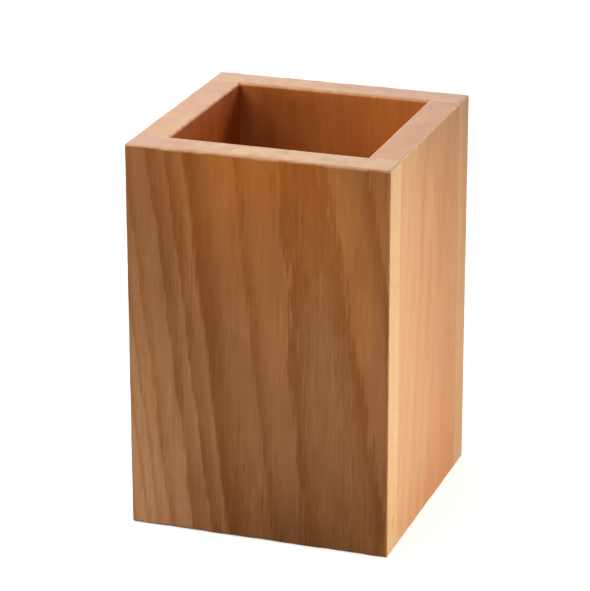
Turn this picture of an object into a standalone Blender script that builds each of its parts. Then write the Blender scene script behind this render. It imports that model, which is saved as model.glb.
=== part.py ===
"""Square wooden pen cup: upright boards glued into a box round a bottom panel that is held in grooves.

Lengths are in metres. +Z is up, the front faces -Y, and the origin is the middle of the base.
"""

from math import cos, pi, sin
from typing import NamedTuple

import bmesh
import bpy

# Outside of the cup
HEIGHT = 0.110
WIDTH = 0.074
DEPTH = 0.074

# Boards: the front and back run the full width, and the left and right stand between them
FACE_BOARD = 0.0094
SIDE_BOARD = 0.0090
GLUE_LINE = 0.0003

# Bottom panel, held in a groove round the inside of the boards
PANEL = 0.0050
PANEL_PLAY = 0.0003
GROOVE_DEPTH = 0.0035
GROOVE_LIFT = 0.0040

# Sanded edges: rounded outside, a small flat round the inside of the rim
OUTER_ARRIS = 0.0005
RIM_ARRIS = 0.0003
ARRIS_SEGMENTS = 3

# How far a cutter runs past the faces that it cuts
OVERCUT = 0.0010

# Half-widths of the well that the boards leave between them
WELL_X = WIDTH / 2 - SIDE_BOARD
WELL_Y = DEPTH / 2 - FACE_BOARD

SIDE_RUN = 2 * (WELL_Y - GLUE_LINE)
GROOVE_HEIGHT = PANEL + 2 * PANEL_PLAY
TONGUE = GROOVE_DEPTH - PANEL_PLAY

# Oiled cherry, one tone for each board as sRGB
FRONT_TONE = (0.64, 0.42, 0.26)
BACK_TONE = (0.66, 0.43, 0.26)
LEFT_TONE = (0.68, 0.46, 0.29)
RIGHT_TONE = (0.72, 0.50, 0.33)
PANEL_TONE = (0.64, 0.43, 0.27)
OILED_ROUGHNESS = 0.42


class Wall(NamedTuple):
    """One upright board: where it stands, how large it is, and whether its long edges show outside."""

    name: str
    tone: tuple
    turn: float
    reach: float
    run: float
    thickness: float
    edges_show: bool
    groove_half: float


def face_wall(name, tone, turn):
    """Describe a board that runs the full width, with a groove that stops short of its long edges."""
    return Wall(name, tone, turn, DEPTH / 2, WIDTH, FACE_BOARD, True, WELL_X + GROOVE_DEPTH)


def side_wall(name, tone, turn):
    """Describe a board between the two face boards, with a groove that runs right through."""
    return Wall(name, tone, turn, WIDTH / 2, SIDE_RUN, SIDE_BOARD, False, SIDE_RUN / 2 + OVERCUT)


def clear_scene():
    """Remove whatever objects the open file holds."""
    for thing in list(bpy.data.objects):
        bpy.data.objects.remove(thing, do_unlink=True)


def linear(channel):
    """Turn one sRGB channel into the linear value that a shader takes."""
    if channel <= 0.04045:
        return channel / 12.92
    return ((channel + 0.055) / 1.055) ** 2.4


def oiled_wood(name, tone):
    """Make the material of one board from its sRGB tone."""
    material = bpy.data.materials.new(name)
    material.use_nodes = True
    shader = material.node_tree.nodes["Principled BSDF"]
    shader.inputs["Base Color"].default_value = (*map(linear, tone), 1.0)
    shader.inputs["Roughness"].default_value = OILED_ROUGHNESS
    shader.inputs["Metallic"].default_value = 0.0
    return material


def block(low, high):
    """Return a bmesh box between two opposite corners."""
    shape = bmesh.new()
    bmesh.ops.create_cube(shape, size=1.0)
    for vert in shape.verts:
        vert.co = [a if c < 0 else b for a, b, c in zip(low, high, vert.co)]
    shape.normal_update()
    return shape


def add_object(name, shape, parent):
    """Turn a bmesh into a named object under its parent."""
    mesh = bpy.data.meshes.new(name)
    shape.to_mesh(mesh)
    shape.free()
    thing = bpy.data.objects.new(name, mesh)
    bpy.context.scene.collection.objects.link(thing)
    thing.parent = parent
    return thing


def add_cutter(name, shape, parent):
    """Turn a bmesh into a cutter that isn't a piece itself."""
    cutter = add_object(name, shape, parent)
    cutter.hide_render = True
    cutter.display_type = "WIRE"
    return cutter


def cut(board, cutter):
    """Take a cutter's shape out of a board."""
    boolean = board.modifiers.new(cutter.name, "BOOLEAN")
    boolean.operation = "DIFFERENCE"
    boolean.solver = "EXACT"
    boolean.object = cutter


def ease_outer_edges(shape, edges_show):
    """Round each edge between two faces that show, which the inner face (+Y) never counts as."""

    def shows(face):
        is_inner_face = face.normal.y > 0.5
        is_long_edge = abs(face.normal.x) > 0.5
        return not is_inner_face and (edges_show or not is_long_edge)

    eased = [edge for edge in shape.edges if all(shows(face) for face in edge.link_faces)]
    bmesh.ops.bevel(
        shape,
        geom=eased,
        offset=OUTER_ARRIS,
        segments=ARRIS_SEGMENTS,
        profile=0.5,
        affect="EDGES",
    )


def rim_cutter(parent):
    """Make the 45 degree taper that takes the sharp edge off the inside of the rim."""
    rise = RIM_ARRIS + OVERCUT
    shape = block(
        (-WELL_X + OVERCUT, -WELL_Y + OVERCUT, HEIGHT - rise),
        (WELL_X - OVERCUT, WELL_Y - OVERCUT, HEIGHT + OVERCUT),
    )
    for vert in shape.verts:
        if vert.co.z > HEIGHT:
            vert.co.x += (rise + OVERCUT) * (1 if vert.co.x > 0 else -1)
            vert.co.y += (rise + OVERCUT) * (1 if vert.co.y > 0 else -1)
    return add_cutter("rim_cutter", shape, parent)


def add_wall(wall, rim, cup):
    """Stand one board on its end. In its own frame X runs along the wall, Y into the cup and Z up."""
    shape = block((-wall.run / 2, 0.0, 0.0), (wall.run / 2, wall.thickness, HEIGHT))
    ease_outer_edges(shape, wall.edges_show)
    board = add_object(wall.name, shape, cup)
    board.location = (wall.reach * sin(wall.turn), -wall.reach * cos(wall.turn), 0.0)
    board.rotation_euler.z = wall.turn
    groove = block(
        (-wall.groove_half, wall.thickness - GROOVE_DEPTH, GROOVE_LIFT),
        (wall.groove_half, wall.thickness + OVERCUT, GROOVE_LIFT + GROOVE_HEIGHT),
    )
    cut(board, add_cutter(wall.name + "_groove_cutter", groove, board))
    cut(board, rim)
    board.data.materials.append(oiled_wood(wall.name, wall.tone))


def add_bottom_panel(cup):
    """Lay the bottom panel in the grooves, with its play all round."""
    half_x = WELL_X + TONGUE
    half_y = WELL_Y + TONGUE
    panel = add_object("bottom_panel", block((-half_x, -half_y, 0.0), (half_x, half_y, PANEL)), cup)
    panel.location.z = GROOVE_LIFT + PANEL_PLAY
    panel.data.materials.append(oiled_wood("bottom_panel", PANEL_TONE))


def build_cup():
    """Build the whole cup under one empty."""
    clear_scene()
    cup = bpy.data.objects.new("pen_cup", None)
    bpy.context.scene.collection.objects.link(cup)
    rim = rim_cutter(cup)
    for wall in (
        face_wall("front_board", FRONT_TONE, 0.0),
        side_wall("right_board", RIGHT_TONE, pi / 2),
        face_wall("back_board", BACK_TONE, pi),
        side_wall("left_board", LEFT_TONE, -pi / 2),
    ):
        add_wall(wall, rim, cup)
    add_bottom_panel(cup)


build_cup()
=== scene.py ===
"""The wooden pen cup as the camera sees it: sanded boards of oiled cherry on a pale studio floor.

Lengths are in metres unless a name says millimetres. +Z is up and the front faces -Y, as in the CAD frame.
"""

import logging
from collections.abc import Callable
from dataclasses import dataclass, replace
from enum import Enum
from functools import partial
from math import cos, pi, radians, sin

import bmesh
import bpy
import numpy as np
from mathutils import Matrix, Vector


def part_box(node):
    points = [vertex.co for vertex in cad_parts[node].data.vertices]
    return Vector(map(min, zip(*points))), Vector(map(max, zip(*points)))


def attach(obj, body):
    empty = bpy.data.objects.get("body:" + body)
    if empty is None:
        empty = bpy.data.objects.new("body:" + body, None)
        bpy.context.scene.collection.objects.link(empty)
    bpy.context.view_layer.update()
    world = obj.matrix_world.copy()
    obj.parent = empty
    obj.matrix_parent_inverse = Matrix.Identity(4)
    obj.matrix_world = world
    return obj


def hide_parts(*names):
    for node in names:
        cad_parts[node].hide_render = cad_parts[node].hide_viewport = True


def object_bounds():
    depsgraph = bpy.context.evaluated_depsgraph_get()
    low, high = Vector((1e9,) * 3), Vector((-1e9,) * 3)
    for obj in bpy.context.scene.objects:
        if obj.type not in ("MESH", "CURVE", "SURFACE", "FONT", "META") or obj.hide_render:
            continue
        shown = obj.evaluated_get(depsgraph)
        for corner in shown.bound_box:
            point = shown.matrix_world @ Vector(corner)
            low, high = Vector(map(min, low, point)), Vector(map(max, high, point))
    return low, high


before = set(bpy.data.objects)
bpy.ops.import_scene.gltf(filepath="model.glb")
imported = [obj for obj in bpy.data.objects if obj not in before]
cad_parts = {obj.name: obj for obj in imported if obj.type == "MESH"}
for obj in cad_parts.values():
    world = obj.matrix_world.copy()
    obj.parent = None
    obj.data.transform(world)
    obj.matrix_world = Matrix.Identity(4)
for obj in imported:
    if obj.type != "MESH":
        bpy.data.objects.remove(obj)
CAD_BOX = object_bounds()

LOG = logging.getLogger("pen_cup")
MM = 0.001
IMAGE_WIDTH_PX = 590

# How close two stations of a board may stand, how near counts as the same place, and how near points merge
STATION_GAP = 0.01 * MM
SAME_PLACE = 0.001 * MM
MERGE_REACH = 0.0005 * MM
# A face whose normal has a part above this lies square to an axis, so it isn't part of a rounded edge
FLAT_NORMAL = 0.9995

# What the shaders read from the meshes, each from 0 to 1: how far a point lies on a sanded edge, on the
# inside of the cup, and on the edge grain at a board's side
ARRIS_ATTRIBUTE = "arris"
INSIDE_ATTRIBUTE = "inside"
EDGE_GRAIN_ATTRIBUTE = "edge_grain"

# One tree's years as it grew: the ring's outer radius in mm, how dark its latewood is, and what share of
# the ring that latewood takes. All the boards are cut from this tree, so they share its rings.
GROWTH_RINGS = (
    (8.0, 0.55, 0.50),
    (13.5, 0.60, 0.50),
    (19.0, 0.60, 0.45),
    (26.5, 0.60, 0.50),
    (30.6, 0.58, 0.62),
    (35.6, 0.48, 0.55),
    (44.9, 0.78, 0.75),
    (48.4, 0.68, 1.25),
    (52.7, 0.64, 1.30),
    (58.4, 0.45, 0.55),
    (61.6, 0.45, 0.55),
    (64.5, 0.42, 0.55),
    (68.5, 0.60, 0.60),
    (72.5, 0.40, 0.55),
    (75.6, 0.35, 0.60),
    (80.5, 0.45, 0.50),
    (84.0, 0.55, 0.60),
    (89.0, 0.70, 0.55),
    (93.0, 0.60, 0.60),
    (100.0, 0.60, 0.50),
)
# Parts of a year, from 0 to 1: where the latewood's share is counted back from, is full, and fades
LATE_CLOSE = 0.95
LATE_FULL = 0.92
LATE_FADE = 0.84

# What noise comes to on average, and how much of its strength each finer octave keeps
NOISE_MEAN = 0.5
OCTAVE_SHARE = 0.55
# Takes the part along the pith out of trunk coordinates
ACROSS_PITH = (1.0, 1.0, 0.0)
# The distance from the pith at which a ray has its real thickness, about the middle of the boards
RAY_RADIUS_MM = 45.0
# A setting that many nodes share, and the numbers of a Mix node's colour sockets
SMOOTH = {"interpolation_type": "SMOOTHSTEP"}
UNDER = 6
OVER = 7

Tree = bpy.types.NodeTree
Node = bpy.types.Node
# What feeds a socket: an output, or a node by its first output in use
Wire = Node | bpy.types.NodeSocket
Triple = tuple[float, float, float]
Rgba = tuple[float, float, float, float]


def linear_colour(srgb_hex: str) -> Rgba:
    """Turn an sRGB hex colour into the linear RGBA that a shader socket takes.

    Args:
        srgb_hex: six hex digits, such as "BC7A46".

    Returns:
        Linear red, green, blue and an alpha of 1.
    """
    encoded = np.array([int(srgb_hex[i : i + 2], 16) for i in (0, 2, 4)]) / 255.0
    linear = np.where(encoded <= 0.04045, encoded / 12.92, ((encoded + 0.055) / 1.055) ** 2.4)
    return (*(float(channel) for channel in linear), 1.0)


def add_node(tree: Tree, kind: str, inputs: dict | tuple = (), **settings: str | bool) -> Node:
    """Add one node to a tree with its settings, values and links.

    Args:
        tree: the node tree.
        kind: the node's class name after ShaderNode.
        inputs: the value or the wire for each socket, in the sockets' order or by their names or numbers.
        **settings: the node's own properties, such as operation or blend_type.

    Returns:
        The new node.
    """
    node = tree.nodes.new("ShaderNode" + kind)
    for name, value in settings.items():
        setattr(node, name, value)
    for key, value in inputs.items() if isinstance(inputs, dict) else enumerate(inputs):
        if isinstance(value, Node):
            value = next(output for output in value.outputs if output.enabled)
        if isinstance(value, bpy.types.NodeSocket):
            tree.links.new(value, node.inputs[key])
        else:
            node.inputs[key].default_value = value
    return node


class Wall(Enum):
    """The side of the cup that a board stands on, as a turn about Z in degrees."""

    FRONT = 0.0
    RIGHT = 90.0
    BACK = 180.0
    LEFT = 270.0

    def along(self) -> np.ndarray:
        """Return the unit vector along the wall."""
        return np.array([cos(radians(self.value)), sin(radians(self.value)), 0.0])

    def inward(self) -> np.ndarray:
        """Return the unit vector from the outer face into the cup."""
        return np.array([-sin(radians(self.value)), cos(radians(self.value)), 0.0])


@dataclass(frozen=True)
class Cloud:
    """A soft cloud of another colour in a board, some the wood's own tone and some painted light and shade:
    its middle, its reach and how far it takes over.
    """

    middle_mm: Triple
    reach_mm: Triple
    colour: str
    share: float


@dataclass(frozen=True)
class Grain:
    """A point of the wood as one material's nodes see it.

    add puts a node into the material's tree, place is the point in the object's metres, and normal is the
    surface's. board is the point in the board's millimetres, with Z along the fibres, and trunk the same in
    the trunk's, with Z along the pith.
    """

    add: Callable[..., Node]
    place: Wire
    normal: Wire
    board: Wire
    trunk: Wire

    def noise(self, size_mm: Triple, detail: float = 1.0, place_mm: Wire | None = None) -> Wire:
        """Add noise whose cells have a size of their own along each axis.

        Args:
            size_mm: size of a cell along X, Y and Z.
            detail: octaves of finer noise.
            place_mm: coordinates in millimetres, the board's unless others are given.

        Returns:
            The noise value, about 0.5 on average.
        """
        place = self.board if place_mm is None else place_mm
        cells = self.add("VectorMath", (place, size_mm), operation="DIVIDE")
        octaves = {"Vector": cells, "Scale": 1.0, "Detail": detail, "Roughness": OCTAVE_SHARE}
        return self.add("TexNoise", octaves)

    def swayed(self, value: Wire | float, size_mm: Triple, reach: float) -> Wire:
        """Add noise about 0, times its reach, to a value.

        Args:
            value: what the noise is added to.
            size_mm: size of a cell along the board's X, Y and Z.
            reach: what the noise is multiplied by.

        Returns:
            The value with its noise.
        """
        offset = self.add("Math", (self.noise(size_mm), NOISE_MEAN), operation="SUBTRACT")
        return self.add("Math", (offset, reach, value), operation="MULTIPLY_ADD")


@dataclass(frozen=True)
class Cut:
    """How the wood was cut at a point, each a wire from 0 to 1; turned is the greater of end and side."""

    quarter: Wire
    end: Wire
    side: Wire
    inside: Wire
    turned: Wire


@dataclass(frozen=True)
class OiledCherry:
    """Cherry, sawn, sanded and wiped with oil: satin brown with dark growth lines and fine upright streaks.

    The wood is a solid pattern. Coordinates are turned into the board's own, in millimetres with Z along
    its fibres, and from there into the trunk's, with Z along the pith. So one field gives slanting lines on
    a flat-sawn face, stripes on an edge and arcs on the end grain.
    """

    name: str
    pith_mm: Triple
    lean_deg: Triple
    grain_deg: Triple = (0.0, 0.0, 0.0)
    earlywood: str = "BE8040"
    latewood_tint: str = "CBAA58"
    inside_tint: str = "FFE6E2"
    ray_tissue: str = "D2A065"
    edge_grain: str = "DDAE6B"
    edge_fleck: str = "F2D4A4"
    # Pale end grain: part the sanded ends, part a painted sheen on the rim
    end_grain_and_sheen: str = "B8804A"
    end_blush: str = "B8765A"
    blush_run: float = 0.0
    # Edge tones: pale on top edges, part rubbing and part painted highlight, dark on upright edges, part
    # handling and part painted shade
    worn_edge_and_highlight: str = "DDAA80"
    handled_edge_and_shade: str = "8A5C38"
    ring_contrast: float = 0.8
    top_contrast: float = 1.0
    inside_contrast: float = 1.0
    latewood_breadth: float = 1.0
    figure: float = 1.0
    clouds: tuple[Cloud, ...] = ()

    # Sizes of the pattern's cells in millimetres: across the grain both ways, then along it. The wanders and
    # the fine streaks have their strength beside them.
    ring_wanders: tuple[tuple[Triple, float], ...] = (
        ((26.0, 26.0, 80.0), 0.4),
        ((3.0, 3.0, 16.0), 1.2),
        ((0.8, 0.8, 9.0), 2.0),
    )
    fine_streaks: tuple[tuple[Triple, float], ...] = (((0.9, 0.9, 13.0), 0.95), ((0.45, 0.45, 5.5), 0.6))
    broad_streak_mm: Triple = (2.4, 2.4, 60.0)
    tuft_mm: Triple = (1.3, 1.3, 12.0)
    lively_mm: Triple = (5.0, 5.0, 34.0)
    vessel_mm: Triple = (1.0, 1.0, 9.0)
    ruffle_mm: Triple = (12.0, 12.0, 50.0)
    fleck_mm: Triple = (1.2, 1.2, 2.5)
    blotch_mm: Triple = (6.0, 6.0, 6.0)
    wear_and_light_mm: Triple = (2.5, 2.5, 2.5)
    mottle_mm: Triple = (6.0, 6.0, 30.0)
    drift_mm: Triple = (5.0, 5.0, 12.0)
    # A ray's depth towards the pith, its thickness and its height
    ray_mm: Triple = (4.0, 0.4, 0.8)

    # How strong each part of the pattern is. A pair is the least, in smooth wood or on a flat-sawn face, and
    # what a lively patch or a quarter-sawn face adds.
    streak_strength: tuple[float, float] = (0.35, 1.3)
    pore_strength: tuple[float, float] = (0.25, 0.75)
    broad_strength: float = 0.8
    tuft_strength: float = 0.25
    pore_rim: float = 0.30
    pore_core: float = 0.12
    ruffle: float = 0.8
    cloud_on_edge: float = 0.4
    quarter_sheen: float = 0.15
    ray_shares: tuple[float, float] = (0.02, 0.25)
    side_share: float = 0.94
    fleck_share: float = 0.2
    end_share: float = 0.7
    ring_fade: float = 0.95
    # How far the edges take their tone of rubbing with painted highlight and shade
    wear_and_light: float = 1.3
    mottle: float = 0.28
    streak_depth: float = 0.27
    streak_calm: float = 0.15
    pore_depth: float = 0.22
    deepening: float = 0.52
    dimming: float = 0.42

    # Oil soaks in and leaves no coat, and the sanded fibres scatter its gloss: a soft sheen, with an IOR
    # under the oil's own
    roughness: float = 0.42
    ior: float = 1.22
    latewood_polish: float = -0.02
    pore_dullness: float = 0.15
    streak_dullness: float = 0.12
    pore_sink: float = -0.6
    bump_strength: float = 0.3
    bump_depth: float = 0.04 * MM

    def material(self) -> bpy.types.Material:
        """Build the material.

        Returns:
            A material whose colour, roughness and bump follow the wood's rings, fibres, pores and rays.
        """
        material = bpy.data.materials.new(self.name)
        material.use_nodes = True
        tree = material.node_tree
        tree.nodes.clear()
        add = partial(add_node, tree)
        point = add("TexCoord").outputs
        sawn_from = {
            "Vector": point["Object"],
            "Location": tuple(MM * value for value in self.pith_mm),
            "Rotation": tuple(radians(value) for value in self.grain_deg),
            "Scale": (MM, MM, MM),
        }
        board = add("Mapping", sawn_from, vector_type="TEXTURE")
        lean = {"Vector": board, "Rotation": tuple(radians(value) for value in self.lean_deg)}
        trunk = add("Mapping", lean, vector_type="TEXTURE")
        wood = Grain(add, point["Object"], point["Normal"], board, trunk)
        radius, around = self._polar(wood)
        late = self._latewood(wood, radius)
        lively = self._lively(wood)
        fibre = self._fibre(wood, lively)
        pores = self._pores(wood, lively)
        cut = self._cut(wood)
        sawn = self._sawn(wood, cut, self._rays(wood, radius, around))
        worn_and_lit = self._edge_wear_and_light(wood, self._ringed(wood, cut, sawn, late))
        colour = self._streaked(wood, cut, worn_and_lit, fibre, pores)
        self._shade(wood, colour, late, fibre, pores)
        return material

    def _polar(self, wood: Grain) -> tuple[Wire, Wire]:
        """Work out the distance from the pith, with the rings' wander, and the way round it.

        The wander has three sizes, and its finest follows the fibres, which feathers the rings' borders.

        Args:
            wood: the point of the wood.

        Returns:
            The wandering radius in millimetres and the angle round the pith in radians.
        """
        flat = wood.add("VectorMath", (wood.trunk, ACROSS_PITH), operation="MULTIPLY")
        radius = wood.add("VectorMath", (flat,), operation="LENGTH")
        for size_mm, reach_mm in self.ring_wanders:
            radius = wood.swayed(radius, size_mm, reach_mm)
        parts = wood.add("SeparateXYZ", (wood.trunk,)).outputs
        around = wood.add("Math", (parts["Y"], parts["X"]), operation="ARCTAN2")
        return radius, around

    def _latewood(self, wood: Grain, radius: Wire) -> Wire:
        """Turn the radius into how much latewood is at a point.

        A curve turns the radius into years. In each ring the value rises smoothly from nothing to the year's
        darkness over the latewood's share of it, and falls quickly where the next spring's growth begins.

        Args:
            wood: the point of the wood.
            radius: distance from the pith in millimetres.

        Returns:
            Latewood from 0 to 1.
        """
        years = len(GROWTH_RINGS)
        bark_mm = GROWTH_RINGS[-1][0]
        share = wood.add("Math", (radius, bark_mm), operation="DIVIDE", use_clamp=True)
        calendar = wood.add("FloatCurve", {"Value": share})
        curve = calendar.mapping.curves[0]
        for year, (edge_mm, _, _) in enumerate(GROWTH_RINGS[:-1], start=1):
            curve.points.new(edge_mm / bark_mm, year / years)
        for point in curve.points:
            point.handle_type = "VECTOR"
        calendar.mapping.update()
        year = wood.add("Math", (calendar, years), operation="MULTIPLY")
        season = wood.add("Math", (year,), operation="FRACT")
        character = wood.add("ValToRGB", {"Fac": calendar})
        ramp = character.color_ramp
        ramp.interpolation = "CONSTANT"
        for index, (_, darkness, breadth) in enumerate(GROWTH_RINGS):
            stop = ramp.elements[index] if index < 1 else ramp.elements.new(index / years)
            stop.color = (darkness, breadth, 0.0, 1.0)
        ramp.elements.remove(ramp.elements[-1])
        traits = wood.add("SeparateColor", (character,)).outputs
        span = (traits["Green"], -self.latewood_breadth, LATE_CLOSE)
        start = wood.add("Math", span, operation="MULTIPLY_ADD")
        rise = wood.add("MapRange", {"Value": season, "From Min": start, "From Max": LATE_FULL}, **SMOOTH)
        fall = wood.add("MapRange", {"Value": season, "From Min": 1.0, "From Max": LATE_FADE}, **SMOOTH)
        band = wood.add("Math", (rise, fall), operation="MULTIPLY")
        return wood.add("Math", (band, traits["Red"]), operation="MULTIPLY")

    def _lively(self, wood: Grain) -> Wire:
        """Tell where the grain is lively: long patches in which fibres and vessels crowd together.

        Args:
            wood: the point of the wood.

        Returns:
            1 in a lively patch and 0 where the wood lies smooth.
        """
        crowd = wood.noise(self.lively_mm)
        return wood.add("MapRange", {"Value": crowd, "From Min": 0.40, "From Max": 0.60}, **SMOOTH)

    def _fibre(self, wood: Grain, lively: Wire) -> Wire:
        """Sum three sizes of upright streak, from broad ones to bundles of fibres, and two kinds of tuft.

        The finer streaks are strong in the lively patches and faint between them. The tufts are pale and
        dark. Real fibres are about 0.02 mm wide, too fine to show, so the finest streak here is 0.45 mm.

        Args:
            wood: the point of the wood.
            lively: 1 in a lively patch.

        Returns:
            The streaks, about 0 on average, from about -0.5 to 0.5.
        """
        fine = 0.0
        for size_mm, weight in self.fine_streaks:
            fine = wood.swayed(fine, size_mm, weight)
        smooth, added = self.streak_strength
        share = wood.add("Math", (lively, added, smooth), operation="MULTIPLY_ADD")
        shown = wood.add("Math", (fine, share), operation="MULTIPLY")
        total = wood.swayed(shown, self.broad_streak_mm, self.broad_strength)
        fleck = wood.noise(self.tuft_mm, 2.0)
        for edge, full, weight in ((0.58, 0.70, self.tuft_strength), (0.42, 0.30, -self.tuft_strength)):
            span = {"Value": fleck, "From Min": edge, "From Max": full, "To Max": weight}
            tuft = wood.add("MapRange", span, **SMOOTH)
            total = wood.add("Math", (tuft, total), operation="ADD")
        return total

    def _pores(self, wood: Grain, lively: Wire) -> Wire:
        """Scatter the open vessels, which show as short dark upright dashes of many sizes.

        Each vessel draws its own width. A real one is about 0.1 mm wide, too fine to show, so the widest
        here are drawn at 0.6 mm.

        Args:
            wood: the point of the wood.
            lively: 1 in a lively patch, where the vessels show most.

        Returns:
            1 in a pore and 0 between them.
        """
        cells = wood.add("VectorMath", (wood.board, self.vessel_mm), operation="DIVIDE")
        vessel = wood.add("TexVoronoi", {"Vector": cells, "Scale": 1.0}).outputs
        width = wood.add("SeparateXYZ", (vessel["Color"],)).outputs["X"]
        rim = wood.add("Math", (width, self.pore_rim), operation="MULTIPLY")
        core = wood.add("Math", (width, self.pore_core), operation="MULTIPLY")
        span = {"Value": vessel["Distance"], "From Min": rim, "From Max": core}
        pore = wood.add("MapRange", span, **SMOOTH)
        smooth, added = self.pore_strength
        share = wood.add("Math", (lively, added, smooth), operation="MULTIPLY_ADD")
        return wood.add("Math", (pore, share), operation="MULTIPLY")

    def _rays(self, wood: Grain, radius: Wire, around: Wire) -> Wire:
        """Scatter the rays: plates of pale tissue 4 mm deep towards the pith, 0.4 mm thick and 0.8 mm tall.

        The field lies in polar coordinates, so a radial cut shows flecks across the grain and a flat-sawn
        face only specks.

        Args:
            wood: the point of the wood.
            radius: distance from the pith in millimetres.
            around: angle round the pith in radians.

        Returns:
            1 on a ray and 0 between them.
        """
        arc_mm = wood.add("Math", (around, RAY_RADIUS_MM), operation="MULTIPLY")
        height = wood.add("SeparateXYZ", (wood.trunk,)).outputs["Z"]
        polar = wood.add("CombineXYZ", (radius, arc_mm, height))
        noise = wood.noise(self.ray_mm, place_mm=polar)
        return wood.add("MapRange", {"Value": noise, "From Min": 0.56, "From Max": 0.68}, **SMOOTH)

    def _cut(self, wood: Grain) -> Cut:
        """Tell how a surface lies to the trunk and on the board.

        Args:
            wood: the point of the wood.

        Returns:
            The shares of each way that the wood was cut.
        """
        outward = wood.add("VectorMath", (wood.trunk, ACROSS_PITH), operation="MULTIPLY")
        radial = wood.add("VectorMath", (outward,), operation="NORMALIZE")
        across = wood.add("VectorMath", (wood.normal, radial), operation="DOT_PRODUCT")
        flat = wood.add("Math", (across,), operation="ABSOLUTE")
        quarter = wood.add("MapRange", {"Value": flat, "From Min": 0.70, "From Max": 0.15}, **SMOOTH)
        upright = wood.add("SeparateXYZ", (wood.normal,)).outputs["Z"]
        level = wood.add("Math", (upright,), operation="ABSOLUTE")
        end = wood.add("MapRange", {"Value": level, "From Min": 0.55, "From Max": 0.9}, **SMOOTH)
        side = wood.add("Attribute", attribute_name=EDGE_GRAIN_ATTRIBUTE).outputs["Fac"]
        inside = wood.add("Attribute", attribute_name=INSIDE_ATTRIBUTE).outputs["Fac"]
        turned = wood.add("Math", (side, end), operation="MAXIMUM")
        return Cut(quarter, end, side, inside, turned)

    def _clouded(self, wood: Grain) -> tuple[Wire | Rgba, Wire | Rgba]:
        """Lay the board's soft clouds, of other tones and of painted light and shade, over its earlywood,
        and thinner over its edge grain.

        A cloud's share falls smoothly from its middle to nothing at its reach, a ruffled ellipsoid.

        Args:
            wood: the point of the wood.

        Returns:
            The colour of the earlywood and the colour of the edge grain.
        """
        place_mm = wood.add("VectorMath", {0: wood.place, "Scale": 1.0 / MM}, operation="SCALE")
        noise = wood.noise(self.ruffle_mm, 2.0, place_mm)
        ruffle = (noise, self.ruffle, -NOISE_MEAN * self.ruffle)
        shift = wood.add("Math", ruffle, operation="MULTIPLY_ADD")
        ground = linear_colour(self.earlywood)
        edge = linear_colour(self.edge_grain)
        for cloud in self.clouds:
            tone = linear_colour(cloud.colour)
            away = wood.add("VectorMath", (place_mm, cloud.middle_mm), operation="SUBTRACT")
            scaled = wood.add("VectorMath", (away, cloud.reach_mm), operation="DIVIDE")
            far = wood.add("VectorMath", (scaled,), operation="LENGTH")
            ruffled = wood.add("Math", (far, shift), operation="ADD")
            span = {"Value": ruffled, "From Min": 1.0, "From Max": 0.0, "To Max": cloud.share}
            share = wood.add("MapRange", span, **SMOOTH)
            thin = wood.add("Math", (share, self.cloud_on_edge), operation="MULTIPLY")
            ground = wood.add("Mix", {"Factor": share, UNDER: ground, OVER: tone}, data_type="RGBA")
            edge = wood.add("Mix", {"Factor": thin, UNDER: edge, OVER: tone}, data_type="RGBA")
        return ground, edge

    def _end_tone(self, wood: Grain) -> Wire:
        """Blotch the end grain with its blush, which may run stronger towards one end of the board.

        Args:
            wood: the point of the wood.

        Returns:
            The end grain's colour, paled in part by a painted sheen.
        """
        across = wood.add("SeparateXYZ", (wood.board,)).outputs["X"]
        from_middle = (across, self.blush_run, self.blush_run * self.pith_mm[0])
        run = wood.add("Math", from_middle, operation="MULTIPLY_ADD")
        leaning = wood.add("Math", (wood.noise(self.blotch_mm), run), operation="ADD")
        blush = wood.add("MapRange", {"Value": leaning, "From Min": 0.35, "From Max": 0.65}, **SMOOTH)
        tones = {"Factor": blush, UNDER: linear_colour(self.end_grain_and_sheen), OVER: linear_colour(self.end_blush)}
        return wood.add("Mix", tones, data_type="RGBA")

    def _sawn(self, wood: Grain, cut: Cut, rays: Wire) -> Wire:
        """Give each way of sawing its tone: the clouded face, the flecked edge and the blotched end grain.

        Args:
            wood: the point of the wood.
            cut: how the wood was cut.
            rays: 1 on a ray.

        Returns:
            The colour before its rings.
        """
        colour, edge = self._clouded(wood)
        sheen = wood.add("Math", (cut.quarter, self.quarter_sheen), operation="MULTIPLY")
        least, added = self.ray_shares
        ray_share = wood.add("Math", (cut.quarter, added, least), operation="MULTIPLY_ADD")
        rayed = (rays, ray_share, sheen)
        pale = wood.add("Math", rayed, operation="MULTIPLY_ADD", use_clamp=True)
        side = wood.add("Math", (cut.side, self.side_share), operation="MULTIPLY")
        speckle = wood.noise(self.fleck_mm)
        speck = wood.add("MapRange", {"Value": speckle, "From Min": 0.56, "From Max": 0.72})
        on_edge = wood.add("Math", (speck, cut.side), operation="MULTIPLY")
        fleck = wood.add("Math", (on_edge, self.fleck_share), operation="MULTIPLY")
        end = wood.add("Math", (cut.end, self.end_share), operation="MULTIPLY")
        for share, tone in (
            (pale, linear_colour(self.ray_tissue)),
            (side, edge),
            (fleck, linear_colour(self.edge_fleck)),
            (end, self._end_tone(wood)),
        ):
            colour = wood.add("Mix", {"Factor": share, UNDER: colour, OVER: tone}, data_type="RGBA")
        return colour

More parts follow.
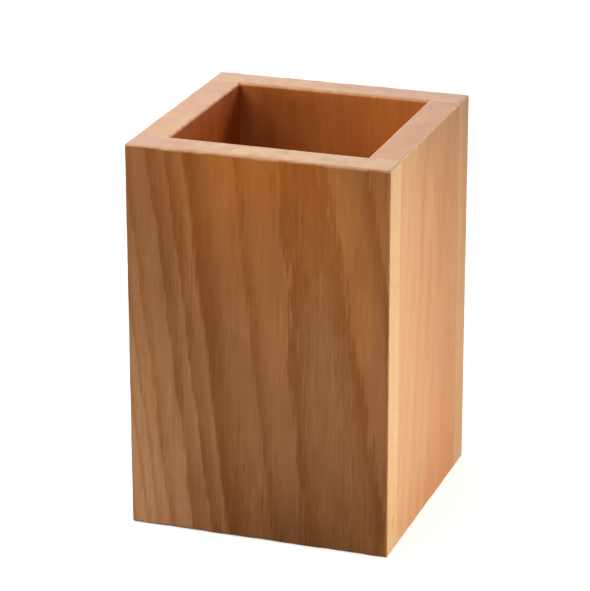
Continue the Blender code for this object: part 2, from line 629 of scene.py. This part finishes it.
    def _ringed(self, wood: Grain, cut: Cut, sawn: Wire, late: Wire) -> Wire:
        """Darken the latewood and tint the inside.

        The latewood shows less on edge and end grain, on the inside and towards the board's top. Heights are
        in millimetres from the board's middle.

        Args:
            wood: the point of the wood.
            cut: how the wood was cut.
            sawn: the colour before its rings.
            late: latewood from 0 to 1.

        Returns:
            The colour before its edge tone.
        """
        share = wood.add("Math", (cut.turned, -self.ring_fade, 1.0), operation="MULTIPLY_ADD")
        top = self.ring_contrast * self.top_contrast
        along = wood.add("SeparateXYZ", (wood.board,)).outputs["Z"]
        contrasts = {"To Min": self.ring_contrast, "To Max": top}
        contrast = wood.add("MapRange", {"Value": along, "From Min": 5.0, "From Max": 50.0, **contrasts})
        within = (cut.inside, self.inside_contrast - 1.0, 1.0)
        inner = wood.add("Math", within, operation="MULTIPLY_ADD")
        for factor in (contrast, inner, late):
            share = wood.add("Math", (share, factor), operation="MULTIPLY")
        colour = sawn
        for depth, tint in ((share, self.latewood_tint), (cut.inside, self.inside_tint)):
            layers = {"Factor": depth, UNDER: colour, OVER: linear_colour(tint)}
            colour = wood.add("Mix", layers, data_type="RGBA", blend_type="MULTIPLY")
        return colour

    def _edge_wear_and_light(self, wood: Grain, ringed: Wire) -> Wire:
        """Tone the edges in patches: pale top edges, part rubbing and part painted highlight, dark upright
        ones, part handling and part painted shade.

        Args:
            wood: the point of the wood.
            ringed: the colour before its edge tone.

        Returns:
            The colour before its streaks.
        """
        upright = wood.add("SeparateXYZ", (wood.normal,)).outputs["Z"]
        top = wood.add("MapRange", {"Value": upright, "From Min": 0.05, "From Max": 0.25})
        # Pale top edges are part rubbing and part painted highlight, dark upright edges part handling and
        # part painted shade
        tones = {"Factor": top, UNDER: linear_colour(self.handled_edge_and_shade), OVER: linear_colour(self.worn_edge_and_highlight)}
        tone = wood.add("Mix", tones, data_type="RGBA")
        edge = wood.add("Attribute", attribute_name=ARRIS_ATTRIBUTE).outputs["Fac"]
        patch = wood.add("Math", (edge, wood.noise(self.wear_and_light_mm, 2.0)), operation="MULTIPLY")
        share = wood.add("Math", (patch, self.wear_and_light), operation="MULTIPLY", use_clamp=True)
        return wood.add("Mix", {"Factor": share, UNDER: ringed, OVER: tone}, data_type="RGBA")

    def _streaked(self, wood: Grain, cut: Cut, worn_and_lit: Wire, fibre: Wire, pores: Wire) -> Wire:
        """Lay the streaks, the pores, a broad mottle and a slight drift of hue over the colour.

        They make up a shade of about 1. Where it falls short of 1, the colour is raised to a power of 1 plus
        deepening times the lack, and multiplied by 1 less dimming times the lack. The streaks are deeper
        towards the board's foot, with heights in millimetres from its middle.

        Args:
            wood: the point of the wood.
            cut: how the wood was cut.
            worn_and_lit: the colour before its streaks.
            fibre: streaks, about 0 on average.
            pores: 1 in a pore.

        Returns:
            The wood's colour.
        """
        mottle = self.mottle * self.figure
        cloudy = (wood.noise(self.mottle_mm, 2.0), mottle, 1.0 - NOISE_MEAN * mottle)
        shade = wood.add("Math", cloudy, operation="MULTIPLY_ADD")
        calm = wood.add("Math", (cut.turned, cut.inside), operation="MAXIMUM")
        calmed = (calm, -self.streak_calm * self.figure, self.streak_depth * self.figure)
        depth = wood.add("Math", calmed, operation="MULTIPLY_ADD")
        along = wood.add("SeparateXYZ", (wood.board,)).outputs["Z"]
        span = {"Value": along, "From Min": -50.0, "From Max": 45.0, "To Min": 1.3, "To Max": 0.75}
        foot = wood.add("MapRange", span)
        deeper = wood.add("Math", (depth, foot), operation="MULTIPLY")
        for pattern, strength in ((fibre, deeper), (pores, -self.pore_depth * self.figure)):
            shade = wood.add("Math", (pattern, strength, shade), operation="MULTIPLY_ADD")
        darker = (shade, -self.deepening, 1.0 + self.deepening)
        power = wood.add("Math", darker, operation="MULTIPLY_ADD")
        deep = wood.add("Gamma", {"Color": worn_and_lit, "Gamma": power})
        dimmer = (shade, self.dimming, 1.0 - self.dimming)
        gain = wood.add("Math", dimmer, operation="MULTIPLY_ADD")
        layers = {"Factor": 1.0, UNDER: deep, OVER: gain}
        shaded = wood.add("Mix", layers, data_type="RGBA", blend_type="MULTIPLY")
        drift = wood.noise(self.drift_mm)
        span = {"Value": drift, "From Min": 0.3, "From Max": 0.7, "To Min": 0.498, "To Max": 0.502}
        return wood.add("HueSaturation", {"Hue": wood.add("MapRange", span), "Color": shaded})

    def _shade(self, wood: Grain, colour: Wire, late: Wire, fibre: Wire, pores: Wire) -> None:
        """Join the colour, roughness and bump to the surface.

        Dense latewood takes a little more polish than open earlywood, and the pores are dull and sunken.

        Args:
            wood: the point of the wood.
            colour: the wood's colour.
            late: latewood from 0 to 1.
            fibre: streaks, about 0 on average.
            pores: 1 in a pore.
        """
        rough = self.roughness
        changes = ((late, self.latewood_polish), (pores, self.pore_dullness), (fibre, self.streak_dullness))
        for pattern, change in changes:
            rough = wood.add("Math", (pattern, change, rough), operation="MULTIPLY_ADD")
        height = wood.add("Math", (pores, self.pore_sink, fibre), operation="MULTIPLY_ADD")
        relief = {"Height": height, "Strength": self.bump_strength, "Distance": self.bump_depth}
        bump = wood.add("Bump", relief)
        skin = {"Base Color": colour, "Roughness": rough, "IOR": self.ior, "Normal": bump}
        surface = wood.add("BsdfPrincipled", skin)
        wood.add("OutputMaterial", {"Surface": surface})


# Each board's cut of cherry by its node's name: where the pith lies, how the trunk leans, its tones and its
# soft clouds, some of which are painted light and shade, noted where they stand
CHERRY_CUTS: dict[str, OiledCherry] = {
    "front_board": OiledCherry(
        "oiled_cherry_front",
        pith_mm=(19.1, -65.75, 55.0),
        lean_deg=(0.9, -7.0, 0.0),
        earlywood="B47647",
        edge_grain="CBA16D",
        end_grain_and_sheen="C8A27C",
        end_blush="AE8870",
        blush_run=-0.007,
        worn_edge_and_highlight="DFAC86",
        ring_contrast=1.05,
        top_contrast=0.85,
        clouds=(
            Cloud((3.0, -37.0, 114.0), (46.0, 12.0, 60.0), "D07C34", 0.9),
            Cloud((24.5, -37.0, 96.0), (7.0, 12.0, 24.0), "D68C46", 0.7),
            Cloud((29.0, -37.0, 66.0), (7.0, 12.0, 26.0), "D28A44", 0.5),
            Cloud((5.0, -37.0, 60.0), (10.0, 12.0, 32.0), "CA8A50", 0.5),
            Cloud((18.0, -37.0, 48.0), (12.0, 12.0, 46.0), "C08A58", 0.5),
            # Paler at the lower left: partly the wood's paler tone, partly a painted reflection
            Cloud((-38.0, -37.0, 5.0), (36.0, 12.0, 100.0), "DEA474", 0.95),
            # Painted shade: darker towards the foot of the front face
            Cloud((18.0, -37.0, -8.0), (56.0, 12.0, 50.0), "845428", 0.92),
            # Painted shade: darker at the lower right of the front face
            Cloud((36.5, -37.0, 14.0), (6.0, 2.0, 40.0), "824C1E", 0.45),
            # The strip paler towards its foot: partly its tone, partly painted light from below
            Cloud((37.2, -32.0, -4.0), (2.6, 12.0, 40.0), "CB9650", 0.9),
        ),
    ),
    "back_board": OiledCherry(
        "oiled_cherry_back",
        pith_mm=(-34.0, 66.3, 55.0),
        lean_deg=(1.0, -8.5, 0.0),
        earlywood="BA7A3C",
        edge_grain="B1814E",
        edge_fleck="BC8C58",
        end_grain_and_sheen="C09870",
        end_blush="B08870",
        blush_run=0.004,
        worn_edge_and_highlight="E4AE86",
        ring_contrast=0.9,
        inside_contrast=0.29,
        latewood_breadth=0.4,
        clouds=(
            # Painted light: the right part of the inside back wall brighter
            Cloud((30.0, 28.0, 100.0), (36.0, 9.0, 50.0), "E29A4A", 0.9),
            # Painted shade: the inside back wall darker towards the left corner
            Cloud((-17.0, 28.0, 98.0), (18.0, 9.0, 44.0), "9A5C2A", 0.8),
            # Painted light: the inside back-left corner lifted
            Cloud((-28.0, 28.0, 84.0), (13.0, 9.0, 28.0), "E8AC6E", 0.85),
            # Painted shade: a near-black cloud darkening the top of the back board's end
            Cloud((37.2, 34.0, 116.0), (2.6, 14.0, 56.0), "1C0C02", 0.98),
            # The back board's end paler towards its foot: partly its tone, partly painted light from below
            Cloud((37.2, 34.0, -14.0), (2.6, 14.0, 70.0), "D8A060", 0.9),
            # Painted light: a band brighter just under the rim inside
            Cloud((-2.0, 28.0, 112.0), (38.0, 6.0, 8.0), "E09848", 0.5),
            Cloud((0.0, 27.6, 76.0), (44.0, 4.0, 30.0), "B87228", 0.9),
            Cloud((-8.0, 37.5, 112.0), (36.0, 5.0, 60.0), "C87832", 0.7),
            # Painted shade: the outer face darker towards the foot
            Cloud((6.0, 37.5, 0.0), (28.0, 5.0, 64.0), "8E5A2C", 0.8),
        ),
    ),
    "left_board": OiledCherry(
        "oiled_cherry_left",
        pith_mm=(-80.0, -30.0, 55.0),
        lean_deg=(1.0, -2.0, 0.0),
        earlywood="B87A40",
        inside_tint="FFD3C3",
        end_grain_and_sheen="B88E6A",
        end_blush="B0846A",
        worn_edge_and_highlight="FAC8A0",
        ring_contrast=0.85,
        inside_contrast=0.59,
        clouds=(
            # Painted light: the inside left wall brighter just under the rim
            Cloud((-28.0, 6.0, 112.0), (6.0, 34.0, 11.0), "D89A68", 0.6),
            # Painted light: the inside left wall brighter towards the front
            Cloud((-28.0, -22.0, 106.0), (8.0, 24.0, 44.0), "D89A5E", 0.7),
            # Painted shade: the inside left wall darker towards the back corner
            Cloud((-28.0, 20.0, 88.0), (8.0, 17.0, 44.0), "8A5228", 0.6),
            Cloud((-28.0, 0.0, 78.0), (4.0, 44.0, 30.0), "B6722C", 0.9),
            # Painted shade: the outer face darker towards the foot
            Cloud((-37.5, 2.0, 4.0), (5.0, 26.0, 70.0), "8E5A2C", 0.7),
        ),
    ),
    "right_board": OiledCherry(
        "oiled_cherry_right",
        pith_mm=(96.0, 23.0, 55.0),
        lean_deg=(-5.0, 1.0, 0.0),
        earlywood="C48F5C",
        latewood_tint="D6AE00",
        end_grain_and_sheen="C08456",
        end_blush="B87C54",
        worn_edge_and_highlight="F4CAB0",
        ring_contrast=0.43,
        figure=0.52,
        clouds=(
            Cloud((37.0, 18.0, 50.0), (12.0, 46.0, 140.0), "BE7840", 0.75),
            # Darker towards the back: partly the board's tone, partly painted shade
            Cloud((37.0, 44.0, 104.0), (12.0, 74.0, 120.0), "9E6628", 0.84),
            Cloud((37.0, 16.0, -6.0), (12.0, 58.0, 40.0), "AE6820", 0.5),
            # Painted shade: darker along the top of the right board
            Cloud((37.0, 14.0, 120.0), (12.0, 54.0, 40.0), "7A4A10", 0.38),
        ),
    ),
    "bottom_panel": OiledCherry(
        "oiled_cherry_bottom",
        pith_mm=(0.0, 10.0, -40.0),
        lean_deg=(0.0, -3.0, 0.0),
        grain_deg=(0.0, 90.0, 0.0),
        ring_contrast=0.6,
    ),
}


@dataclass(frozen=True)
class Arris:
    """The sanded edges of a board: their radii and how evenly they were rubbed.

    outer is for the edges of the outer face, side for the upright edges at a corner, rim for the rim's inner
    edge and joint for edges that meet another board. A wave is its share of the unevenness, the millimetres
    in which it goes through a radian, and its phase.
    """

    outer: float = 0.8 * MM
    side: float = 0.45 * MM
    rim: float = 0.55 * MM
    joint: float = 0.07 * MM
    unevenness: float = 0.35
    waves: tuple[Triple, ...] = ((0.5, 3.7, 1.3), (0.3, 1.45, 0.4), (0.2, 0.8, 2.2))
    fade: float = 4.0 * MM
    segments: int = 5

    def angles(self) -> np.ndarray:
        """Return the angles along a quarter-round, from 0 to a right angle."""
        return np.linspace(0.0, pi / 2, self.segments + 1)

    def wander(self, along: np.ndarray, length: float) -> np.ndarray:
        """Give the wander of an edge's radius: three waves of unrelated lengths, faded out at both ends.

        Args:
            along: distances along the edge.
            length: the edge's whole length, with its middle at 0.

        Returns:
            A factor near 1 for each distance.
        """
        waves = sum(share * np.sin(along / (pace_mm * MM) + phase) for share, pace_mm, phase in self.waves)
        ends = np.clip((length / 2 - np.abs(along)) / self.fade, 0.0, 1.0)
        return 1.0 + self.unevenness * waves * ends


@dataclass(frozen=True)
class Groove:
    """A groove along the inner face: its lower and upper side, its depth, and half its length."""

    low: float
    high: float
    depth: float
    half_run: float


@dataclass
class Board:
    """One sawn board with sanded edges, made by carrying its cross-section along its run.

    The cross-section lies in the plane of the board's thickness and its height. Its outer and rim edges are
    quarter-rounds, and the section draws in over the last stretch at each end, which rounds the edges there.
    """

    node: str
    slot: str
    wall: Wall
    finish: OiledCherry
    low: Vector
    high: Vector
    arris: Arris
    end_radius: float
    groove: Groove | None = None
    rim_half: float | None = None
    rows: int = 70
    short_rows: int = 8
    columns: int = 54

    def sizes(self) -> Triple:
        """Return the board's run, thickness and height."""
        across = np.array(self.high - self.low)
        run = abs(across @ self.wall.along())
        thickness = abs(across @ self.wall.inward())
        return float(run), float(thickness), float(across[2])

    def stations(self) -> tuple[np.ndarray, np.ndarray, np.ndarray]:
        """Lay out the sections along the run.

        Returns:
            Each section's distance from the middle, how far it is drawn in (1 at the very end, 0 past the
            rounding) and how deep its groove is as a share of the groove's depth.
        """
        run = self.sizes()[0]
        reach = run / 2 - self.end_radius
        marks = [np.linspace(-reach, reach, self.columns)]
        if self.rim_half is not None:
            rim = np.array([self.rim_half, self.rim_half + self.arris.rim])
            marks += [rim, -rim]
        middle = np.unique(np.concatenate(marks))
        notch = np.zeros_like(middle)
        if self.groove is not None:
            half = self.groove.half_run
            if half < reach:
                # Each end of a stopped groove takes two stations, one plain and one at full depth
                middle = middle[np.abs(np.abs(middle) - half) > STATION_GAP]
                middle = np.sort(np.concatenate([middle, [-half, -half, half, half]]))
                notch = (np.abs(middle) < half - SAME_PLACE).astype(float)
                stops = np.flatnonzero(np.abs(np.abs(middle) - half) < SAME_PLACE)
                notch[stops[[1, 2]]] = 1.0
            else:
                notch = np.ones_like(middle)
        turn = self.arris.angles()[:-1]
        offset = self.end_radius * (1.0 - np.cos(turn))
        distance = np.concatenate([-run / 2 + offset, middle, (run / 2 - offset)[::-1]])
        drawn = 1.0 - np.sin(turn)
        draw = np.concatenate([drawn, np.zeros_like(middle), drawn[::-1]])
        ends = np.full_like(turn, notch[0])
        return distance, draw, np.concatenate([ends, notch, ends])

    def section(self, outer: np.ndarray, rim: np.ndarray, notch: np.ndarray) -> dict[str, np.ndarray]:
        """Work out the cross-section at every station at once.

        It runs up the outer face, over the outer quarter-round, across the top, over the rim's
        quarter-round, down the inner face with its groove, and back along the bottom.

        Args:
            outer: radius of the outer edges at each station, as a column.
            rim: radius of the rim's inner edge at each station, as a column.
            notch: depth of the groove at each station, as a column.

        Returns:
            Depth and height of each point, the direction in which it is drawn in at an end, how far it lies
            on a rounded edge, and whether it lies on the inner face.
        """
        _, thick, tall = self.sizes()
        joint = np.full_like(outer, self.arris.joint)
        turn = self.arris.angles()[None, :]
        rise = np.linspace(0.0, 1.0, self.rows + 1)[None, 1:-1]
        short = np.linspace(0.0, 1.0, self.short_rows + 1)[None, 1:-1]
        # A board with no groove has two rows of points there, flush with its face
        low, high = (self.groove.low, self.groove.high) if self.groove else (0.3 * tall, 0.6 * tall)
        c, s = np.cos(turn), np.sin(turn)
        bend = 2 * s * c
        step = np.array([[0.0, 1.0, 1.0, 0.0]])
        pieces = (
            (0.0, outer + rise * (tall - 2 * outer), 1.0, 0.0, 0.0, 0.0),
            (outer * (1 - c), tall - outer * (1 - s), c, -s, bend, 0.0),
            (outer + short * (thick - rim - outer), tall, 0.0, -1.0, 0.0, 0.0),
            (thick - rim * (1 - s), tall - rim * (1 - c), 0.0, -c, bend, s),
            (thick, tall - rim + rise * (high - tall + rim), 0.0, 0.0, 0.0, 1.0),
            (thick - notch * step, np.array([[high, high, low, low]]), 0.0, 0.0, 0.0, 1.0),
            (thick, low + short * (joint - low), 0.0, 0.0, 0.0, 1.0),
            (thick - joint * (1 - c), joint * (1 - s), 0.0, s, bend, 0.0),
            (thick - joint + short * (outer - thick + joint), 0.0, 0.0, 1.0, 0.0, 0.0),
            (outer * (1 - s), outer * (1 - c), s, c, bend, 0.0),
        )
        names = ("depth", "height", "draw_depth", "draw_height", "rounded", "inside")
        whole = [np.broadcast_arrays(*piece) for piece in pieces]
        return {name: np.concatenate(parts, axis=1) for name, parts in zip(names, zip(*whole))}

    def surface(self) -> tuple[np.ndarray, dict[str, np.ndarray]]:
        """Carry the cross-section along the run and place it in the cup.

        A point is the foot of the outer face's middle, plus its distance along the wall, its depth inwards
        and its height.

        Returns:
            Points as an array of stations by section points by three, and the attributes for the wood.
        """
        run, thick, tall = self.sizes()
        distance, draw, notch = self.stations()
        rim = np.full_like(distance, self.arris.rim)
        if self.rim_half is not None:
            rim = np.clip(self.rim_half + self.arris.rim - np.abs(distance), 0.0, self.arris.rim)
        outer = self.arris.outer * self.arris.wander(distance, run)
        depth_of_groove = self.groove.depth if self.groove else 0.0
        cut = self.section(outer[:, None], rim[:, None], notch[:, None] * depth_of_groove)
        drawn = draw[:, None]
        end = self.end_radius * self.arris.wander(cut["height"] - tall / 2, tall)
        depth = cut["depth"] + cut["draw_depth"] * end * drawn
        height = cut["height"] + cut["draw_height"] * end * drawn
        height = np.clip(height, self.end_radius * drawn, tall - self.end_radius * drawn)
        middle = (self.low + self.high) / 2
        face = np.array([middle.x, middle.y, self.low.z]) - self.wall.inward() * thick / 2
        points = (
            face
            + distance[:, None, None] * self.wall.along()
            + depth[..., None] * self.wall.inward()
            + height[..., None] * np.array([0.0, 0.0, 1.0])
        )
        side = np.repeat(drawn, points.shape[1], axis=1)
        # A rounded end's edge tone, part rubbing and part painted highlight and shade, is strongest halfway
        # round its edge, where side is a half
        at_end = np.sqrt(np.clip(side * (1.0 - side) * 4, 0, 1))
        rubbed = np.maximum(cut["rounded"] * (1.0 - side), at_end)
        inside = cut["inside"] * (1.0 - side)
        return points, {ARRIS_ATTRIBUTE: rubbed, INSIDE_ATTRIBUTE: inside, EDGE_GRAIN_ATTRIBUTE: side}

    def build(self) -> bpy.types.Object:
        """Make the board's mesh, join it to the frame and give it its wood.

        Returns:
            The board's object.
        """
        points, attributes = self.surface()
        stations, around = points.shape[:2]
        index = np.arange(stations * around).reshape(stations, around)
        ahead = np.roll(index, -1, axis=1)
        quads = np.stack([index[:-1], ahead[:-1], ahead[1:], index[1:]], axis=-1).reshape(-1, 4)
        faces = [*quads.tolist(), index[0, ::-1].tolist(), index[-1].tolist()]
        mesh = bpy.data.meshes.new(self.node + "_wood")
        mesh.from_pydata(points.reshape(-1, 3), [], faces)
        for name, values in attributes.items():
            layer = mesh.attributes.new(name, "FLOAT", "POINT")
            layer.data.foreach_set("value", values.astype(np.float32).ravel())
        close_seams(mesh)
        board = bpy.data.objects.new(self.node + "_wood", mesh)
        bpy.context.scene.collection.objects.link(board)
        mesh.materials.append(self.finish.material())
        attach(board, "root")
        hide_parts(self.node)
        return board


def close_seams(mesh: bpy.types.Mesh) -> None:
    """Merge the points that coincide at corners and groove ends, turn faces outwards and smooth the edges.

    Args:
        mesh: the mesh to finish.
    """
    shape = bmesh.new()
    shape.from_mesh(mesh)
    bmesh.ops.remove_doubles(shape, verts=shape.verts, dist=MERGE_REACH)
    bmesh.ops.dissolve_degenerate(shape, dist=MERGE_REACH, edges=shape.edges)
    bmesh.ops.recalc_face_normals(shape, faces=shape.faces)
    shape.to_mesh(mesh)
    shape.free()
    normals = np.empty(len(mesh.polygons) * 3, np.float32)
    mesh.polygons.foreach_get("normal", normals)
    rounded = np.abs(normals.reshape(-1, 3)).max(axis=1) < FLAT_NORMAL
    mesh.polygons.foreach_set("use_smooth", rounded)
    mesh.update()


@dataclass
class PenCup:
    """The whole cup: face boards across the front and back, side boards between them, and the bottom."""

    arris: Arris
    rubbed_rim: float = 0.9 * MM
    glue_line: float = 0.03 * MM
    groove_depth: float = 3.5 * MM
    panel_arris: float = 0.3 * MM
    panel_play: float = 0.3 * MM
    panel_rows: int = 12

    def boards(self) -> list[Board]:
        """Size every board from the CAD frame.

        Returns:
            The boards, with the side boards reaching the face boards but for a hairline of glue.
        """
        front_low, front_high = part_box("front_board")
        back_low, back_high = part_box("back_board")
        left_low, left_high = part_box("left_board")
        right_low, right_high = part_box("right_board")
        panel_low, panel_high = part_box("bottom_panel")
        groove_low = panel_low.z - self.panel_play
        groove_high = panel_high.z + self.panel_play
        well_half = right_low.x
        stopped = Groove(groove_low, groove_high, self.groove_depth, well_half + self.groove_depth)
        through = Groove(groove_low, groove_high, self.groove_depth, front_high.x)
        for low, high in ((left_low, left_high), (right_low, right_high)):
            low.y = front_high.y + self.glue_line
            high.y = back_low.y - self.glue_line
        plain = self.arris
        rubbed = replace(plain, rim=self.rubbed_rim)
        right_edges = replace(plain, outer=plain.side)
        left_edges = replace(rubbed, outer=plain.side)
        panel_edges = Arris(outer=self.panel_arris, rim=self.panel_arris, joint=self.panel_arris)
        made = []
        for node, wall, low, high, edges, end_radius, groove, rim_half in (
            ("front_board", Wall.FRONT, front_low, front_high, plain, plain.side, stopped, well_half),
            ("back_board", Wall.BACK, back_low, back_high, rubbed, plain.side, stopped, well_half),
            ("left_board", Wall.LEFT, left_low, left_high, left_edges, plain.joint, through, None),
            ("right_board", Wall.RIGHT, right_low, right_high, right_edges, plain.joint, through, None),
            ("bottom_panel", Wall.FRONT, panel_low, panel_high, panel_edges, self.panel_arris, None, None),
        ):
            slot = node.split("_")[0] + "_wood"
            cherry = CHERRY_CUTS[node]
            made.append(Board(node, slot, wall, cherry, low, high, edges, end_radius, groove, rim_half))
        made[-1].rows = self.panel_rows
        return made

    def build(self) -> None:
        """Build every board and log it."""
        for board in self.boards():
            piece = board.build()
            LOG.info("%s: %d faces, replaces %s", piece.name, len(piece.data.polygons), board.node)


@dataclass(frozen=True)
class SoftBox:
    """A square studio lamp with a diffuser, aimed at a point."""

    name: str
    place: Triple
    aim: Triple
    side: float
    watts: float

    def build(self) -> None:
        """Hang the lamp."""
        lamp = bpy.data.lights.new(self.name, "AREA")
        lamp.shape = "SQUARE"
        lamp.size = self.side
        lamp.energy = self.watts
        holder = bpy.data.objects.new(self.name, lamp)
        holder.location = self.place
        holder.rotation_euler = (Vector(self.aim) - Vector(self.place)).to_track_quat("-Z", "Y").to_euler()
        holder.visible_camera = False
        bpy.context.scene.collection.objects.link(holder)


@dataclass(frozen=True)
class Studio:
    """A pale floor under a white surround, with soft light from the right and from above."""

    floor_half: float = 1.5
    floor_colour: str = "D9D8D6"
    floor_glow: float = 0.58
    far_glow: float = 0.85
    glow_run: tuple[float, float] = (0.35, 1.2)
    ambient: float = 0.264
    white: str = "FFFFFF"

    def lamps(self) -> tuple[SoftBox, ...]:
        """Return the studio's lamps."""
        return (
            SoftBox("low_right", (0.19, -0.045, 0.020), (0.0, 0.0, 0.055), 0.10, 0.32),
            SoftBox("high_right", (0.42, 0.40, 0.42), (0.0, 0.0, 0.055), 0.20, 1.5),
            SoftBox("overhead_left", (-0.16, -0.078, 0.30), (0.0, 0.0, 0.10), 0.18, 0.68),
            SoftBox("behind", (-0.30, 0.87, 0.36), (0.0, 0.0, 0.055), 0.70, 2.6),
        )

    def build(self) -> None:
        """Set up the floor, the surround and the lamps."""
        self._floor()
        self._surround()
        for lamp in self.lamps():
            lamp.build()

    def _seen_white(self, tree: Tree) -> Wire:
        """Tell which rays see the plain white studio: those from the camera, a reflection or a clear body.

        Args:
            tree: the node tree.

        Returns:
            1 for such a ray and 0 for a ray that lights the cup.
        """
        path = add_node(tree, "LightPath").outputs
        seen = path["Is Camera Ray"]
        for ray in ("Is Glossy Ray", "Is Transmission Ray"):
            seen = add_node(tree, "Math", (seen, path[ray]), operation="MAXIMUM")
        return seen

    def _floor(self) -> None:
        """Lay the floor: one square of matt paint that looks white and still takes a soft shadow."""
        corner = self.floor_half * np.array([[-1, -1, 0], [1, -1, 0], [1, 1, 0], [-1, 1, 0]])
        mesh = bpy.data.meshes.new("floor")
        mesh.from_pydata(corner, [], [(0, 1, 2, 3)])
        floor = bpy.data.objects.new("floor", mesh)
        bpy.context.scene.collection.objects.link(floor)
        paint = bpy.data.materials.new("matt_painted_floor")
        paint.use_nodes = True
        tree = paint.node_tree
        tree.nodes.clear()
        matt = add_node(tree, "BsdfDiffuse", {"Color": linear_colour(self.floor_colour)})
        place = add_node(tree, "TexCoord").outputs["Object"]
        far = add_node(tree, "VectorMath", (place,), operation="LENGTH")
        run = {"From Min": self.glow_run[0], "From Max": self.glow_run[1]}
        glows = {"To Min": self.floor_glow, "To Max": self.far_glow}
        level = add_node(tree, "MapRange", {"Value": far, **run, **glows}, **SMOOTH)
        glow = add_node(tree, "Math", (self._seen_white(tree), level), operation="MULTIPLY")
        light = add_node(tree, "Emission", {"Strength": glow})
        both = add_node(tree, "AddShader", (matt, light))
        add_node(tree, "OutputMaterial", {"Surface": both})
        mesh.materials.append(paint)

    def _surround(self) -> None:
        """Surround the cup with white, dimmer as a light than it looks."""
        world = bpy.data.worlds.new("white_surround")
        world.use_nodes = True
        tree = world.node_tree
        tree.nodes.clear()
        seen = self._seen_white(tree)
        level = add_node(tree, "MapRange", {"Value": seen, "To Min": self.ambient, "To Max": 1.0})
        sky = add_node(tree, "Background", {"Color": linear_colour(self.white), "Strength": level})
        add_node(tree, "OutputWorld", {"Surface": sky})
        bpy.context.scene.world = world


@dataclass(frozen=True)
class PhotoCamera:
    """The photograph's camera, found from the cup's corners: where it stands and how long its lens is."""

    azimuth_deg: float = 19.042
    elevation_deg: float = 20.301
    roll_deg: float = -0.068
    distance: float = 0.81583
    aside: float = -1.800 * MM
    above: float = 3.316 * MM
    focal_px: float = 2922.0
    sensor: float = 36.0

    def build(self, target: Vector) -> None:
        """Stand the camera up and make it the scene's.

        Args:
            target: the point that it turns about, in the middle of the cup.
        """
        turn, tilt = radians(self.azimuth_deg), radians(self.elevation_deg)
        back = Vector((sin(turn) * cos(tilt), -cos(turn) * cos(tilt), sin(tilt)))
        level = Vector((cos(turn), sin(turn), 0.0))
        lean = Matrix.Rotation(radians(self.roll_deg), 3, back)
        right = lean @ level
        up = lean @ back.cross(level)
        eye = target + back * self.distance + right * self.aside + up * self.above
        lens = bpy.data.cameras.new("photo_camera")
        lens.sensor_fit = "HORIZONTAL"
        lens.sensor_width = self.sensor
        lens.lens = self.focal_px / IMAGE_WIDTH_PX * self.sensor
        camera = bpy.data.objects.new("photo_camera", lens)
        pose = Matrix((right, up, back)).transposed().to_4x4()
        pose.translation = eye
        camera.matrix_world = pose
        bpy.context.scene.collection.objects.link(camera)
        bpy.context.scene.camera = camera


def main() -> None:
    """Build the cup, the studio and the camera in order."""
    logging.basicConfig(level=logging.INFO, format="%(name)s: %(message)s")
    bpy.context.scene.view_settings.view_transform = "Standard"
    PenCup(Arris()).build()
    Studio().build()
    PhotoCamera().build((CAD_BOX[0] + CAD_BOX[1]) / 2)


if __name__ == "__main__":
    main()
